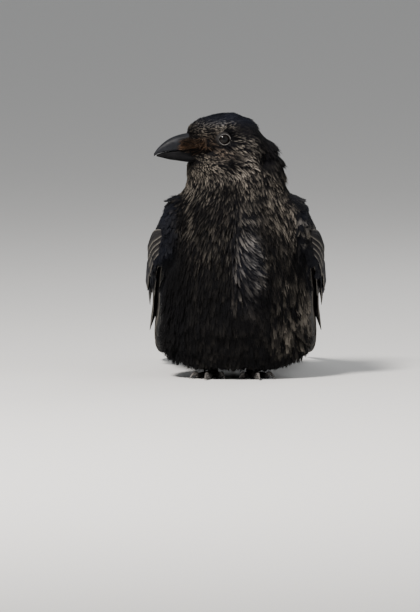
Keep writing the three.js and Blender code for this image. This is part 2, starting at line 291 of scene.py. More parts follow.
# %% Masks of the parts
def masks(places):
    x, y, z = places.T
    u, v, w = by_head(places)
    part = SimpleNamespace(x=x, y=y, z=z, u=u, v=v, w=w)
    part.head = smooth(w + 0.25 * u, -42, -20)
    part.face = part.head * smooth(u, 2, 20)
    part.nape = smooth(-u, 22, 44) * smooth(w, -60, -20)
    part.neck = smooth(z, 146, 178) * (1 - part.head)
    part.back = smooth(y, 6, 46) * (1 - part.head) * (1 - part.neck * 0.6)
    part.rump = smooth(y, 84, 120)
    part.belly = smooth(-z, -80, -30) * (1 - part.rump)
    part.wing = smooth(np.abs(x), 60, 68) * smooth(z, 60, 84) * smooth(-y, -112, -86)
    shoulder = smooth(np.abs(x) + 0.22 * (y + 30), 50, 60) * smooth(z, 104, 130)
    part.wing = np.maximum(part.wing, shoulder * (1 - part.head) * smooth(-y, -70, -30))
    return part


def depth_of_coat(part):
    """How far the skin lies inside the solids, in millimetres."""
    depth = mix(5.0, 2.0, part.head)
    depth = mix(depth, 1.2, part.face)
    depth = mix(depth, 8.5, part.nape)
    depth = mix(depth, 4.6, part.neck)
    depth = mix(depth, 3.0, part.rump)
    depth = mix(depth, 2.0, part.neck * smooth(-part.u, 30, 44))
    depth = depth + 4.0 * bell(part.w, -20, 8) * smooth(-part.u, 20, 38)
    return mix(depth, 2.2, part.wing)


def melt(skin, places, share, rounds=60):
    """Moves each point towards its neighbours, so that the wings' wrists flow into the body."""
    one, two = read(skin.data.edges, "vertices", 2).astype(int).T
    count = len(places)
    near = np.maximum(np.bincount(one, minlength=count) + np.bincount(two, minlength=count), 1)
    for _ in range(rounds):
        sums = [np.bincount(one, axis[two], count) + np.bincount(two, axis[one], count)
                for axis in places.T]
        mean = np.stack(sums, 1) / near[:, None]
        places = places + 0.5 * share[:, None] * (mean - places)
    return places


WRIST_DROP = 4  # millimetres, as is the depth of the gape
GAPE_DEPTH = 4.2


def draw_in(skin):
    places = read_places(skin.data)
    part = masks(places)
    x, y, z = places.T
    wrist = smooth(z, 118, 136) * smooth(np.abs(x), 34, 46) * smooth(-y, -60, -20)
    wrist *= 1 - part.head
    places[:, 2] -= WRIST_DROP * wrist * smooth(np.abs(x), 46, 66) * smooth(z, 138, 160)
    places = melt(skin, places, wrist)
    write_places(skin.data, places)
    places = places - read(skin.data.vertex_normals, "vector") * depth_of_coat(part)[:, None]
    # the gape: a groove that lets the edges of the bill show back to under the eye
    u, v, w = part.u, part.v, part.w
    groove = GAPE_DEPTH * bell(w, -11, 3.0) * smooth(u, 7, 13) * (u > 0)
    places = places - (np.sign(v) * groove)[:, None] * LEFTWARD
    write_places(skin.data, places)


draw_in(skin)
skin.data.shade_smooth()

# %% [markdown]
# ## Light, floor and camera
# A museum piece is shown on a plain pale floor in soft light. The camera stands well back with a
# long lens, as bird portraits are made, so it sees the bird nearly without perspective.

# %% Floor, lights and camera
def finish_material(name):
    """A new material with its nodes and its shader."""
    made = bpy.data.materials.new(name)
    made.use_nodes = True
    return made, made.node_tree, made.node_tree.nodes["Principled BSDF"]


def build_floor(half=30.0):
    mesh = bpy.data.meshes.new("floor")
    corners = [(-half, -half, 0), (half, -half, 0), (half, half, 0), (-half, half, 0)]
    mesh.from_pydata(corners, [], [(0, 1, 2, 3)])
    floor = bpy.data.objects.new("floor", mesh)
    bpy.context.collection.objects.link(floor)
    paint, _, shader = finish_material("pale_floor")
    shader.inputs["Base Color"].default_value = (0.78, 0.78, 0.77, 1)
    shader.inputs["Roughness"].default_value = 0.9
    mesh.materials.append(paint)


# place in metres, size in metres, watts, and how much green and blue the light keeps
LAMPS = {"key": ((-0.75, -1.5, 1.7), 0.4, 100, 0.95, 0.90),
         "fill": ((1.6, -1.3, 0.9), 2.0, 12, 1, 1),
         "rim": ((0.9, 1.2, 1.3), 0.7, 6, 1, 1)}
SKY = (0.88, 0.89, 0.90, 1), 0.40  # colour and strength


def build_lights():
    world = bpy.data.worlds.new("studio")
    world.use_nodes = True
    background = world.node_tree.nodes["Background"].inputs
    background["Color"].default_value, background["Strength"].default_value = SKY
    bpy.context.scene.world = world
    target = Vector((0, 0, 0.14))
    for name, (place, size, watts, green, blue) in LAMPS.items():
        lamp = bpy.data.lights.new(name, "AREA")
        lamp.size = size
        lamp.energy = watts
        lamp.color = (1.0, green, blue)
        made = bpy.data.objects.new(name, lamp)
        made.location = place
        made.rotation_euler = (target - Vector(place)).to_track_quat("-Z", "Y").to_euler()
        bpy.context.collection.objects.link(made)


PIXEL = 0.92  # millimetres of the bird
PICTURE_ROWS = 612
AIM = (-26 * PIXEL, 0.0, 66.2)
DISTANCE = 8.0  # metres
ELEVATION = math.radians(4)
SENSOR = 36


def build_camera():
    data = bpy.data.cameras.new("camera")
    data.sensor_fit = "VERTICAL"
    data.sensor_height = SENSOR
    data.lens = SENSOR * DISTANCE / (PICTURE_ROWS * PIXEL * MM)
    data.clip_end = 100
    camera = bpy.data.objects.new("camera", data)
    aim = Vector((np.array(AIM) + SHIFT) * MM)
    camera.location = aim + DISTANCE * Vector((0, -math.cos(ELEVATION), math.sin(ELEVATION)))
    camera.rotation_euler = (aim - camera.location).to_track_quat("-Z", "Y").to_euler()
    bpy.context.collection.objects.link(camera)
    bpy.context.scene.camera = camera


build_floor()
build_lights()
build_camera()

# %% [markdown]
# ## How every feather lies
# Feathers lie like roof tiles: away from the bill over the head, down the neck and breast, and
# along the back to the tail. The skin keeps, at each of its points, the direction of the lie and
# the feather's length and width there, so any number of feathers can be laid later by one rule.
# Combing particle hair would also give a lie, but the result could not be exported as solid mesh.

# %% Lie, length and width
DOWN = -UP
TAILWARDS = np.array([0, 0.92, -0.39])


def along_surface(vectors, normals):
    return unit(vectors - normals * np.sum(vectors * normals, axis=1, keepdims=True))


def lie_of(part, places, normals):
    """The direction of each feather, and the way its outer face looks."""
    x, y, z, u, v, w = part.x, part.y, part.z, part.u, part.v, part.w
    column = lambda values: np.asarray(values)[:, None]
    rear = smooth(y, -10, 50)
    body = np.stack([0.06 * np.sign(x) * smooth(np.abs(x), 2, 12), mix(0.06, 0.60, rear),
                     mix(-1.0, -0.80, rear)], 1)
    # on the breast's left the feathers part from the midline in a swirl
    body[:, 0] += 1.6 * part.swirl * smooth(x, -4, 4)
    # the flanks' feathers are fluffed out over the wings' lower edges
    body[:, 0] += 0.35 * np.sign(x) * part.fluff
    lie = mix(body, TAILWARDS, column(smooth(y, 60, 110)))
    front = np.maximum(smooth(-normals[:, 1], 0.0, 0.6), smooth(z, 116, 140))
    wingwards = np.stack([mix(0.12, 0.10, front) * np.sign(x), mix(0.80, 0.40, front),
                          mix(-0.58, -1.0, front)], 1)
    topside = smooth(normals[:, 2], 0.4, 0.75) * smooth(normals[:, 1], -0.35, 0.05)
    wingwards = mix(wingwards, np.array([0, 1.0, -0.2]), column(topside))
    lie = mix(lie, wingwards, column(part.wing))
    drop = smooth(-w, -5, 30) * 0.7 + smooth(-u, 8, 40) * 1.1 + 0.12
    head = -FORWARD * column(1.0 - 0.5 * smooth(-u, 10, 45)) + DOWN * column(drop)
    lie = mix(lie, head, column(part.head))
    # round the eye they start at the lids
    side = np.sign(v)
    from_eye = places - (HEAD_MIDDLE + LEFTWARD * column(side * EYE_SPREAD))
    near = bell(np.hypot(u, w), 0, 10) * (np.abs(v) > 6) * (1 - 0.9 * smooth(u, 0, 4))
    lie = mix(lie, unit(from_eye) * 1.3 - FORWARD * 0.3, column(near))
    lie = along_surface(lie, normals)
    # the bristles over the nostrils leave the skin and run forward along the bill
    from_bill = unit(places - HEAD_MIDDLE - FORWARD * column(u) + UP * 3.0)
    nostril = column(part.nostril)
    outer = unit(mix(normals, from_bill, nostril))
    sinking = column(0.12 + 0.20 * smooth(w, -2, 5))
    lie = mix(lie, FORWARD + DOWN * sinking + from_bill * 0.15, nostril)
    return along_surface(lie, outer), outer


def feather_size(part):
    """Length and width of the feathers in millimetres."""
    z = part.z
    front = np.interp(z, [8, 24, 60, 90, 130, 160, 190, 205], [8, 14, 24, 24, 19, 15, 12, 10])
    behind = np.interp(z, [20, 60, 110, 150, 185, 205], [26, 30, 28, 24, 17, 12])
    length = mix(front, behind, part.back)
    width = mix(length * np.interp(z, [60, 110], [0.22, 0.13]), length * 0.42, part.back)
    for mask, long, wide in (("head", 7.0, 1.35), ("cheek", 10.0, 1.0), ("nape", 13.5, 2.6),
                             ("throat", 10.5, 1.05), ("face", 4.6, 0.85), ("brow", 5.0, 0.85),
                             ("by_eye", 2.7, 0.75), ("wing", 12.0, 6.0)):
        share = getattr(part, mask)
        length, width = mix(length, long, share), mix(width, wide, share)
    return length, width


def more_masks(part):
    """Masks for the markings. Gloss is the cold sheen, the pale tips are wear and painted
    highlights, rust the brown.
    """
    x, y, z, u, w, head = part.x, part.y, part.z, part.u, part.w, part.head
    front = (1 - part.back) * (1 - part.rump) * (1 - part.wing)
    under_chin = smooth(-w, -6, 4)
    part.nostril = smooth(u, 11, 20) * smooth(w, -10, -7) * smooth(-w, -6, 1)
    part.brow = bell(w, 9, 5.5) * smooth(u, -9, 4) * head
    part.by_eye = bell(np.hypot(u, w), 7, 2.2) * smooth(u, -1, 3) * head
    part.cheek = under_chin * smooth(-u, -4, 6) * smooth(u, -34, -22) * head
    part.throat = smooth(-w, 14, 26) * smooth(u, -34, -16) * smooth(w, -54, -40)
    part.swirl = bell(x, 5, 11) * bell(z, 120, 32) * smooth(x, -6, -1) * smooth(-y, 10, 30)
    part.fluff = (smooth(np.abs(x), 40, 58) * smooth(z, 16, 30) * smooth(-z, -104, -70)
                  * smooth(-y, -60, -20))

    # on the breast's swirl the blue gloss colour and the pale tips are a painted sheen
    part.gloss = np.clip(0.10 + 0.55 * part.back + 0.60 * part.wing + 0.55 * part.swirl
                         + head * (0.1 + 0.8 * smooth(w, 8, 20)), 0, 1)
    part.gloss *= 1 - 0.85 * part.face * smooth(-w, -12, -4)

    # pale tips are wear and painted highlights: brow, cheeks, malar, throat, ruff, left flank,
    # swirl
    cheek = under_chin * smooth(u, -38, -20) * (1 - 0.6 * smooth(u, 4, 12))
    malar = bell(u, 20, 4.5) * bell(w, -16, 3)
    on_head = np.clip(0.03 + 1.3 * part.brow + 0.95 * cheek + malar + 0.65 * part.nostril, 0, 1)
    flank = smooth(x, 26, 46) * smooth(-z, -130, -90) * smooth(z, 30, 50)
    ruff = smooth(z, 132, 156) * (smooth(-x, 30, 48) + smooth(x, 16, 36))
    on_body = 0.03 + 0.11 * smooth(z, 96, 140) + 0.55 * ruff + 0.42 * flank + 0.62 * part.swirl
    part.dust = mix(0.06 + (on_body - 0.06) * front, on_head, head) + 0.62 * part.throat
    # the wrist on the right is ruffled, and its pale edges are a painted highlight; the left
    # shoulder is worn brown
    ahead = part.wing * smooth(-y, 0, 20)
    pale = bell(x, -71, 8) * bell(z, 140, 13) * ahead
    brown = bell(x, 61, 9) * bell(z, 141, 11) * ahead
    part.dust = np.clip(part.dust + 0.9 * pale + 0.55 * brown, 0, 1)
    part.dust *= 1 - 0.85 * smooth(y, 0, 30) * (1 - head)
    part.dust *= 1 - 0.8 * smooth(u, 26, 36) * smooth(-w, 13, 19)
    part.gloss *= 1 - 0.8 * brown

    lores, under_eye = bell(np.hypot(u - 13, w + 4), 0, 9), bell(np.hypot(u - 2, w + 13), 0, 9)
    part.rust = np.clip(part.nostril + 0.5 * lores + 0.45 * under_eye, 0, 1) * head


places = read_places(skin.data)
normals = read(skin.data.vertex_normals, "vector")
part = masks(places)
more_masks(part)
length, width = feather_size(part)
lift = np.arcsin(np.clip(0.75 * depth_of_coat(part) / length, 0.05, 0.6))
lift *= (1 - 0.68 * part.nape) * (1 - 0.7 * part.wing) * (1 - 0.8 * part.nostril)
lift *= 1 + 0.9 * part.fluff
lift *= 1 - 0.75 * part.wing * smooth(normals[:, 2], 0.3, 0.65)
lie, outer = lie_of(part, places, normals)
for name, values in (("lie", lie), ("outer", outer), ("length", length * MM),
                     ("width", width * MM), ("lift", lift), ("gloss", part.gloss),
                     ("dust", part.dust), ("rust", part.rust), ("tone", 0.35),
                     ("vane", np.tile([0.0, 0.3, 0.0], (len(places), 1)))):
    store(skin.data, name, values)
SPARE = ("lie", "outer", "length", "width", "lift")  # of no use once the feathers are laid
print("feathers from", length.min().round(1), "to", length.max().round(1), "mm long")

# %% [markdown]
# The skin's map is for later baking. Each feather takes a tiny patch of it at its root, so the map
# holds feathers and skin alike.

# %% Unwrap the skin
unwrap(skin)

# %% [markdown]
# ## Crow black
# A crow's black is never one tone. Fresh feathers on the crown, shoulders and back are glossy and
# cold: in a live bird the barbs' own structure scatters blue and violet. A shader that did so
# would not survive the export, so a dark blue base stands for it. Old edges bleach to brown-grey,
# most of all round the face, and the same pale tips carry painted highlights, light caught on the
# feather edges. The shader reads each feather's own attributes: across and along its vane, a tone
# of its own, and the gloss, the pale wear with its painted highlights, and the rust of the place
# where it grows.

# %% Short words for node trees
class Flow:
    """A value that flows through a node tree. The usual signs make the nodes."""

    def __init__(self, socket):
        self.socket, self.tree = socket, socket.id_data

    def math(self, operation, *values, clamp=False):
        made = node(self.tree, "ShaderNodeMath", dict(enumerate((self, *values))),
                    operation=operation)
        made.use_clamp = clamp
        return Flow(made.outputs[0])

    def line(self, slope, rise, clamp=False):
        return self.math("MULTIPLY_ADD", slope, rise, clamp=clamp)

    def __add__(self, other):
        return self.math("ADD", other)

    def __sub__(self, other):
        return self.math("SUBTRACT", other)

    def __mul__(self, other):
        return self.math("MULTIPLY", other)


def feed(made, feeds):
    """Sets the inputs of a node, or links them to what flows."""
    for name, value in feeds.items():
        if isinstance(value, Flow):
            value.tree.links.new(value.socket, made.inputs[name])
        else:
            made.inputs[name].default_value = value


def node(tree, kind, feeds=None, **settings):
    made = tree.nodes.new(kind)
    for name, value in settings.items():
        setattr(made, name, value)
    feed(made, feeds or {})
    return made


def flow(tree, kind, feeds=None, output=0, **settings):
    """A new node's output."""
    return Flow(node(tree, kind, feeds, **settings).outputs[output])


def attribute(tree, name, output="Fac"):
    return flow(tree, "ShaderNodeAttribute", output=output, attribute_name=name)


def attributes(tree, *names):
    return [attribute(tree, name) for name in names]


def xyz(x, y, z):
    return flow(x.tree, "ShaderNodeCombineXYZ", {0: x, 1: y, 2: z})


def split(vector):
    parts = node(vector.tree, "ShaderNodeSeparateXYZ", {0: vector}).outputs
    return [Flow(part) for part in parts]


def vector_math(operation, a, b):
    return flow(a.tree, "ShaderNodeVectorMath", {0: a, 1: b}, operation=operation)


def noise(vector, scale, detail):
    return flow(vector.tree, "ShaderNodeTexNoise",
                {"Vector": vector, "Scale": scale, "Detail": detail}, "Fac")


def own_place(tree):
    return flow(tree, "ShaderNodeTexCoord", output="Object")


def bump(height, strength, distance):
    return flow(height.tree, "ShaderNodeBump",
                {"Height": height, "Strength": strength, "Distance": distance})


def blend(factor, a, b):
    """A mix of two colours."""
    a, b = (each if isinstance(each, Flow) else (*each, 1) for each in (a, b))
    return flow(factor.tree, "ShaderNodeMix", {0: factor, 6: a, 7: b}, 2, data_type="RGBA")


# %% Plumage
FRESH_BLACK = (0.0032, 0.0030, 0.0031)
BLUE_BLACK = (0.0080, 0.0100, 0.0185)
# the pale tip colours stand for bleached wear and for painted highlights on the feather edges
WARM_TIP_WEAR_AND_HIGHLIGHT = (0.520, 0.455, 0.370)
COLD_TIP_WEAR_AND_HIGHLIGHT = (0.290, 0.305, 0.345)
RUST_TIP = (0.250, 0.138, 0.076)


def plumage_material():
    paint, tree, shader = finish_material("soft_plumage")
    gloss, dust, rust, tone = attributes(tree, "gloss", "dust", "rust", "tone")
    across, along, _ = split(attribute(tree, "vane", "Vector"))
    across = across.math("ABSOLUTE")
    # barbs leave the shaft forwards, so their lines run aslant across the vane
    barbs = noise(xyz(across.line(-5.0, along * 15.0), across * 1.2, tone * 37.0), 1.0, 2.0)
    patches = noise(own_place(tree), 55.0, 3.0)
    # only the outer part of some feathers is pale, worn and with painted highlights, so pale-tipped
    # and fresh ones lie side by side
    tip = along.line(1.9, -0.75, clamp=True).math("MAXIMUM", rust * 0.45)
    faded_and_lit = tone.line(2.2, -0.9, clamp=True)
    spot = patches.line(2.6, -0.75, clamp=True)
    wear_and_highlight = (dust * spot * (tip * faded_and_lit)).math("MULTIPLY", barbs * 1.6, clamp=True)
    fresh = blend(gloss * patches, FRESH_BLACK, BLUE_BLACK)
    bleached_and_lit = blend(rust, blend(gloss, WARM_TIP_WEAR_AND_HIGHLIGHT, COLD_TIP_WEAR_AND_HIGHLIGHT), RUST_TIP)
    rough = barbs.line(0.2, gloss.line(-0.12, 0.64) - 0.1)
    feed(shader, {"Base Color": blend(wear_and_highlight, fresh, bleached_and_lit), "Roughness": wear_and_highlight.line(0.2, rough),
                  "Normal": bump(barbs, 0.5, 0.0006), "Specular IOR Level": 0.045})
    return paint


SOFT_BLACK = plumage_material()
skin.data.materials.clear()
skin.data.materials.append(SOFT_BLACK)
print("material:", SOFT_BLACK.name)

# %% [markdown]
# ## Small feathers
# A crow wears thousands of contour feathers. Each kind is drawn once, one unit long and one wide:
# a vane of a few rows with a raised shaft, and loose barbs that fray its rim. Cards with a feather
# picture would need image textures and alpha, while these are real geometry of a few dozen faces.

# %% Feather shapes
def vane_shape(name, stations, barbs, arch, seed):
    """A unit feather along +Y. Stations are (along, half width)."""
    rng = random.Random(seed)
    places, faces, vane = [], [], []
    sway = rng.uniform(-0.06, 0.06)

    def add(x, t, raised, across):
        places.append((x + sway * t * t, t, arch * math.sin(math.pi * min(t, 1)) + raised))
        vane.append((across, t, 0.0))
        return len(places) - 1

    rows = [[add(side * half, t, -0.10 * half * abs(side), side) for side in (-1, 0, 1)]
            for t, half in stations]
    for low, high in zip(rows, rows[1:]):
        faces += [(low[0], low[1], high[1], high[0]), (low[1], low[2], high[2], high[1])]
    along, halves = zip(*stations)
    for index in range(barbs):
        side = 1 if index % 2 else -1
        t = mix(0.34, 0.96, (index + rng.random()) / barbs)
        half = float(np.interp(t, along, halves))
        reach = min(t + rng.uniform(0.10, 0.26), 1.07)
        out = side * (half * rng.uniform(0.7, 1.15) + rng.uniform(0.02, 0.14) * (1 - t * 0.8))
        faces.append((add(side * half * 0.45, t, 0.0, side * 0.5),
                      add(side * half * 0.8, t - 0.05, 0.0, side),
                      add(out, reach, rng.uniform(-0.02, 0.05), side)))
    mesh = bpy.data.meshes.new(name)
    mesh.from_pydata(places, [], faces)
    mesh.shade_smooth()
    store(mesh, "vane", vane)
    return bpy.data.objects.new(name, mesh)


OUTLINES = {  # stations, loose barbs and arch
    "contour": ([(0, .06), (.18, .26), (.4, .44), (.62, .48), (.82, .36), (.95, .12)], 14, 0.05),
    "hackle": ([(0, .10), (.25, .38), (.5, .46), (.75, .30), (.95, .05)], 8, 0.05),
    "small": ([(0, .14), (.35, .45), (.7, .42), (.95, .10)], 6, 0.06),
    "bristle": ([(0, .5), (.4, .38), (.8, .2), (1, .03)], 0, 0.10),
    "scale": ([(0, .10), (.2, .32), (.45, .47), (.68, .5), (.85, .42), (.95, .24), (.99, .08)],
              10, 0.04),
}


def feather_kinds(variants=4):
    kinds = {}
    for order, (name, (stations, barbs, arch)) in enumerate(OUTLINES.items()):
        kinds[name] = bpy.data.collections.new(name)
        for variant in range(variants):
            kinds[name].objects.link(vane_shape(f"{name}_{variant}", stations, barbs, arch,
                                                100 * order + variant))
    return kinds


KINDS = feather_kinds()
print("kinds of small feather:", ", ".join(KINDS))

# %% [markdown]
# One node tree lays every coat. It strews points over the skin, none nearer to another than the
# spacing, turns a feather at each along the lie, tips it up by the lift, gives it the length and
# width kept there, and makes it real mesh. Named inputs set the kind, the spacing and the seed.

# %% The coat tree
DENSITY = 2.2  # points tried for each square of the spacing
PATCH = (0.0014, 0.0028, 0.0)  # of the map, for one feather


def coat_tree():
    tree = bpy.data.node_groups.new("Coat", "GeometryNodeTree")
    kinds = {"Geometry": "Geometry", "Feathers": "Collection", "Material": "Material",
             "Spacing": "Float", "Seed": "Int", "Ruffle": "Float", "Longer": "Float",
             "Wider": "Float"}
    made = {name: tree.interface.new_socket(name, in_out="INPUT", socket_type="NodeSocket" + kind)
            for name, kind in kinds.items()}
    tree.interface.new_socket("Geometry", in_out="OUTPUT", socket_type="NodeSocketGeometry")
    inputs = tree.nodes.new("NodeGroupInput").outputs
    given = {name: Flow(inputs[name]) for name in kinds}
    vector = dict(data_type="FLOAT_VECTOR")

    def kept(name, data_type="FLOAT"):
        return flow(tree, "GeometryNodeInputNamedAttribute", {"Name": name}, data_type=data_type)

    def chance(low, high, salt):
        return flow(tree, "FunctionNodeRandomValue",
                    {2: low, 3: high, "Seed": given["Seed"] + float(salt)}, 1)

    cover = kept("cover")
    density = flow(tree, "ShaderNodeMath", {0: DENSITY, 1: given["Spacing"] * given["Spacing"]},
                   operation="DIVIDE")
    points = flow(tree, "GeometryNodeDistributePointsOnFaces", {
        "Mesh": given["Geometry"], "Selection": cover.math("GREATER_THAN", 0.02),
        "Distance Min": given["Spacing"], "Density Max": density, "Density Factor": cover,
        "Seed": given["Seed"]}, "Points", distribute_method="POISSON")
    for name, value, settings in (("root", kept("OFBake", **vector), vector),
                                  ("tone", chance(0.0, 1.0, 1), {})):
        points = flow(tree, "GeometryNodeStoreNamedAttribute", {
            "Geometry": points, "Name": name, "Value": value}, domain="POINT", **settings)
    laid = flow(tree, "FunctionNodeAxesToRotation", {
        "Primary Axis": kept("outer", **vector), "Secondary Axis": kept("lie", **vector)},
        primary_axis="Z", secondary_axis="Y")
    tip = xyz(kept("lift") * chance(0.35, 1.25, 2), given["Ruffle"] * chance(-1.0, 1.0, 3),
              given["Ruffle"] * chance(-0.8, 0.8, 4))
    tipped = flow(tree, "FunctionNodeRotateRotation", {
        "Rotation": laid, "Rotate By": flow(tree, "FunctionNodeEulerToRotation", {0: tip})},
        rotation_space="LOCAL")
    long = kept("length") * given["Longer"] * chance(0.78, 1.15, 5)
    wide = kept("width") * given["Wider"] * chance(0.8, 1.25, 6)
    picked = flow(tree, "GeometryNodeCollectionInfo", {
        "Collection": given["Feathers"], "Separate Children": True, "Reset Children": True})
    worn_and_lit = flow(tree, "GeometryNodeInstanceOnPoints", {
        "Points": points, "Instance": picked, "Pick Instance": True, "Rotation": tipped,
        "Scale": xyz(wide, long, long)})
    real = flow(tree, "GeometryNodeRealizeInstances", {"Geometry": worn_and_lit})
    patch = vector_math("MULTIPLY", kept("vane", **vector), PATCH)
    mapped = flow(tree, "GeometryNodeStoreNamedAttribute", {
        "Geometry": real, "Name": "OFBake",
        "Value": vector_math("ADD", kept("root", **vector), patch)},
        data_type="FLOAT2", domain="CORNER")
    node(tree, "NodeGroupOutput", {0: flow(tree, "GeometryNodeSetMaterial", {
        "Geometry": mapped, "Material": given["Material"]})})
    return tree, {name: socket.identifier for name, socket in made.items()}


COAT, COAT_INPUTS = coat_tree()


WIDEST = 84.6  # millimetres from the bird's middle
LOWEST = 0.0006  # metres, so that nothing sinks into the floor
SKIN_TREE = BVHTree.FromPolygons([vertex.co.copy() for vertex in skin.data.vertices],
                                 [tuple(face.vertices) for face in skin.data.polygons])


def shed(laid, furthest):
    """Drops the few feathers that stand on end or reach out past the wings."""
    # the points of one feather share one root
    roots = read(laid.attributes["root"].data, "vector").round(6)
    feather = np.unique(roots, axis=0, return_inverse=True)[1].ravel()
    stray = np.abs(read_places(laid)[:, 0]) > WIDEST
    for point in np.flatnonzero(read(laid.attributes["vane"].data, "vector")[:, 1] > 0.94):
        off = SKIN_TREE.find_nearest(laid.vertices[int(point)].co)[3]
        stray[point] |= off > furthest * MM
    stray = np.isin(feather, np.unique(feather[stray]))
    if stray.any():
        with edited(laid) as bm:
            bm.verts.ensure_lookup_table()
            gone = [bm.verts[i] for i in np.flatnonzero(stray)]
            bmesh.ops.delete(bm, geom=gone, context="VERTS")
    print(laid.name, "shed", len(np.unique(feather[stray])), "of", feather.max() + 1)


def lay_coat(name, cover, kind, spacing, seed, ruffle, longer=1.0, wider=1.0, furthest=8.0):
    """Feathers of one kind where cover is above 0, spacing in millimetres."""
    base = skin.data.copy()
    store(base, "cover", cover)
    piece = bpy.data.objects.new(name, base)
    bpy.context.collection.objects.link(piece)
    modifier = piece.modifiers.new("Coat", "NODES")
    modifier.node_group = COAT
    for key, value in (("Feathers", KINDS[kind]), ("Material", SOFT_BLACK),
                       ("Spacing", spacing * MM), ("Seed", seed), ("Ruffle", ruffle),
                       ("Longer", longer), ("Wider", wider)):
        modifier[COAT_INPUTS[key]] = value
    graph = bpy.context.evaluated_depsgraph_get()
    laid = bpy.data.meshes.new_from_object(piece.evaluated_get(graph))
    piece.modifiers.clear()
    piece.data = laid
    bpy.data.meshes.remove(base)
    laid.name = name
    shed(laid, furthest)
    for spare in SPARE + ("cover", "root"):
        if spare in laid.attributes:
            laid.attributes.remove(laid.attributes[spare])
    places = read(laid.vertices, "co")
    places[:, 2] = np.maximum(places[:, 2], LOWEST)
    laid.vertices.foreach_set("co", places.ravel())
    settle(piece, "plumage")


# %% Lay the coats
def covers(normals):
    x, y, z, u, v, w = part.x, part.y, part.z, part.u, part.v, part.w
    head, wing, back, rump = part.head, part.wing, part.back, part.rump
    eyes_free = 1 - (np.hypot(u, w) < 5.4 + 1.7 * smooth(u, 0, 5)) * (np.abs(v) > 5)
    body = (1 - head) * (1 - wing)
    gape = 1 - smooth(-abs(w + 11.3), -3.2, -2.2) * smooth(u, 8, 12)
    low = smooth(z, 88, 104)
    near_face = smooth(u, 0, 8)
    # under the belly the feet stand free
    before_feet = bell(np.abs(x + 3.5), 17, 12) * (y < 0)
    under = smooth(z, 10 + 9 * before_feet, 13 + 11 * before_feet)
    outer = smooth(np.sign(x) * normals[:, 0] + 0.6 * normals[:, 2], 0.1, 0.45)
    # none grow where the skin turns across the lie, for they would stand on end
    flat = smooth(0.58 * normals[:, 2] - 0.80 * normals[:, 1], -0.72, -0.40)
    inner = smooth(-np.abs(x), -72, -64)
    sloping = smooth(0.39 * normals[:, 2] - 0.92 * normals[:, 1], -0.97, -0.87)
    unhidden = 1 - smooth(np.abs(x), 42, 52) * smooth(y, 20, 45)
    return {
        "face": head * near_face * eyes_free * gape * (1 - part.nostril),
        "head": head * (1 - near_face) * eyes_free * (1 - part.nape * 0.85) * (1 - part.throat),
        "nape": part.nape * (1 - wing),
        "throat": part.throat * (1 - near_face * smooth(w, -26, -18)),
        "nostrils": part.nostril,
        "neck": body * smooth(z, 140, 156) * (1 - back),
        "breast": body * low * (1 - smooth(z, 148, 166)) * (1 - back),
        "belly": body * (1 - low) * (1 - back) * (1 - rump) * under * inner,
        "back": body * back * (1 - rump) * sloping * inner * unhidden,
        "rump": body * rump,
        "shoulder": wing * (1 - head) * outer * smooth(-y, -40, -24) * flat,
    }


COATS = (  # kind of feather, spacing, seed, ruffle, and what else is not as usual
    ("face", "small", 0.68, 11, 0.3, {}),
    ("head", "small", 0.78, 12, 0.2, {}),
    ("nostrils", "bristle", 0.55, 21, 0.28, {"longer": 2.4, "wider": 0.40, "furthest": 14}),
    ("nape", "hackle", 1.4, 13, 0.42, {"longer": 1.2, "wider": 0.8}),
    ("throat", "hackle", 0.86, 14, 0.28, {}),
    ("neck", "hackle", 1.05, 15, 0.22, {}),
    ("breast", "hackle", 1.10, 16, 0.2, {}),
    ("belly", "contour", 1.85, 17, 0.2, {"furthest": 13}),
    ("back", "scale", 2.8, 18, 0.1, {"furthest": 12}),
    ("rump", "contour", 2.8, 19, 0.12, {"wider": 1.4, "furthest": 13}),
    ("shoulder", "scale", 2.0, 20, 0.1, {}))


def lay_coats():
    cover = covers(normals)
    for name, kind, spacing, seed, ruffle, more in COATS:
        lay_coat("coat_" + name, cover[name], kind, spacing, seed, ruffle, **more)


lay_coats()

# %% [markdown]
# ## Flight feathers
# The wing and tail quills are large and stiff, and each lies in a known place, so they are built
# one by one, not strewn. A folded wing is a curved surface, and the chart below turns distances
# on it, along and across, into places: a feather is then drawn nearly flat, and the chart bends it
# round the body. Every quill is a thin closed lens with a raised shaft, a cambered vane and a few
# splits in its rim.

# %% Wing and tail charts
WING_LINE = [(60, -37, 147), (74, -16, 140), (76.5, 38, 114), (77, 102, 82), (80, 163, 52),
             (78, 222, 25), (69, 264, 9)]
FOLD = 0.3  # share of the line over which the surface turns from upright to the back's slope
WING_SHARES, WING_LENGTHS = even_shares(WING_LINE)
WING_LENGTH = 318.0
TAIL_ROOT = np.array([0.0, 97.0, 72.0])
TAIL_LENGTH = 182.0
TAIL_SLOPE = math.asin((TAIL_ROOT[2] - 1.4) / TAIL_LENGTH)
TAIL_ARCH, TAIL_SAG = 0.0035, 5  # across the tail, and along it in millimetres
WING_GAP, TAIL_GAP = 0.7, 0.6  # millimetres left between the charts and the floor


